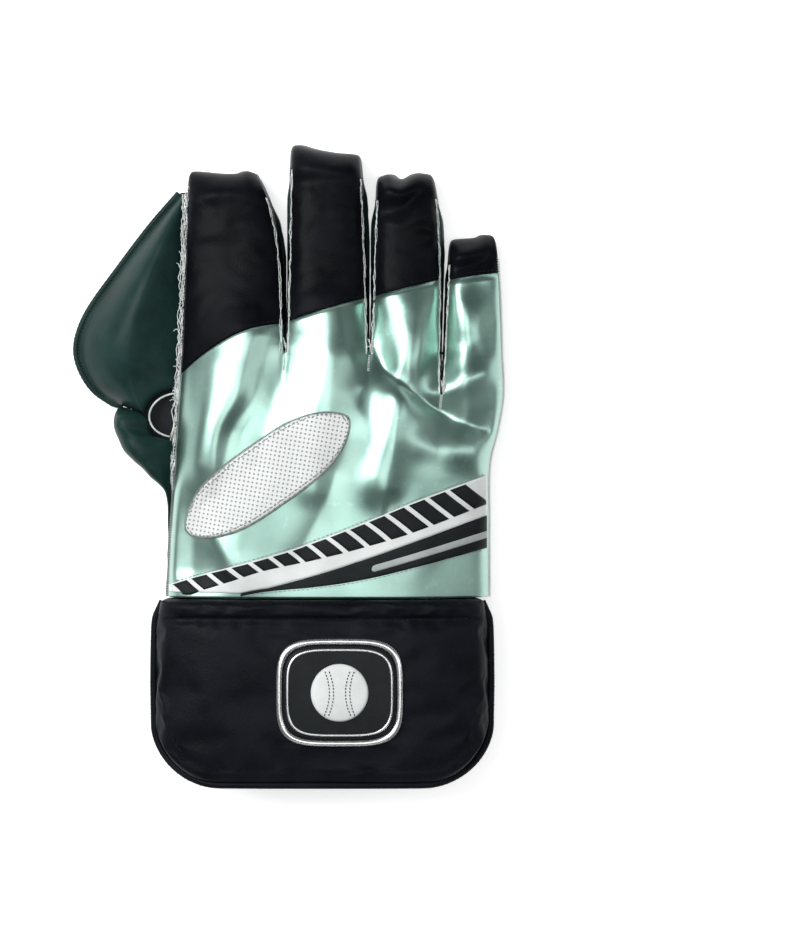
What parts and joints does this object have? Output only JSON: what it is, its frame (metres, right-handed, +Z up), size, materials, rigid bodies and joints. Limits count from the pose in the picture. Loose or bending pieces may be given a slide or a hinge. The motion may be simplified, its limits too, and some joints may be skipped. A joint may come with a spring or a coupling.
{
  "type": "wicketkeeping glove",
  "caption": "Right-hand wicketkeeping glove lying palm down, with hollow finger and thumb stalls, a catching web and a padded cuff.",
  "frame": {"origin": "middle of the glove's box, at the surface that its palm lies on", "axes": "+Z up out of the back of the hand, +Y towards the fingertips, -X towards the thumb"},
  "size_m": [0.2314, 0.342, 0.0562],
  "materials": {
    "silver_leather": "metallic satin",
    "black_leather": "satin",
    "green_leather": "satin",
    "palm_rubber": "pimpled matt",
    "cuff_leather": "grained gloss",
    "light_leather": "satin",
    "dark_trim": "satin",
    "grey_trim": "satin",
    "badge_metal": "silvered"
  },
  "bodies": {
    "root": {"back_panel": "silver_leather", "finger_back_index": "black_leather", "finger_back_middle": "black_leather", "finger_back_ring": "black_leather", "finger_back_little": "black_leather", "gusset_index_side": "black_leather", "fourchette_index_middle": "green_leather", "fourchette_middle_ring": "green_leather", "fourchette_ring_little": "green_leather", "gusset_little_side": "green_leather", "thumb_back": "green_leather", "web_back": "green_leather", "web_face": "palm_rubber", "web_binding": "green_leather", "armhole_binding": "light_leather", "palm_face": "palm_rubber", "palm_patch": "light_leather", "cuff_back": "cuff_leather", "cuff_palm": "cuff_leather", "cuff_back_piping": "cuff_leather", "cuff_palm_piping": "cuff_leather", "badge_rim": "badge_metal", "badge_plate": "dark_trim", "badge_boss": "light_leather", "vent_patch": "light_leather", "band_light": "light_leather", "band_dark": "dark_trim", "band_line": "grey_trim", "band_block_01": "dark_trim", "band_block_02": "dark_trim", "band_block_03": "dark_trim", "band_block_04": "dark_trim", "band_block_05": "dark_trim", "band_block_06": "dark_trim", "band_block_07": "dark_trim", "band_block_08": "dark_trim", "band_block_09": "dark_trim", "band_block_10": "dark_trim", "band_block_11": "dark_trim", "band_block_12": "dark_trim", "band_block_13": "dark_trim", "band_block_14": "dark_trim", "band_block_15": "dark_trim"}
  },
  "joints": []
}
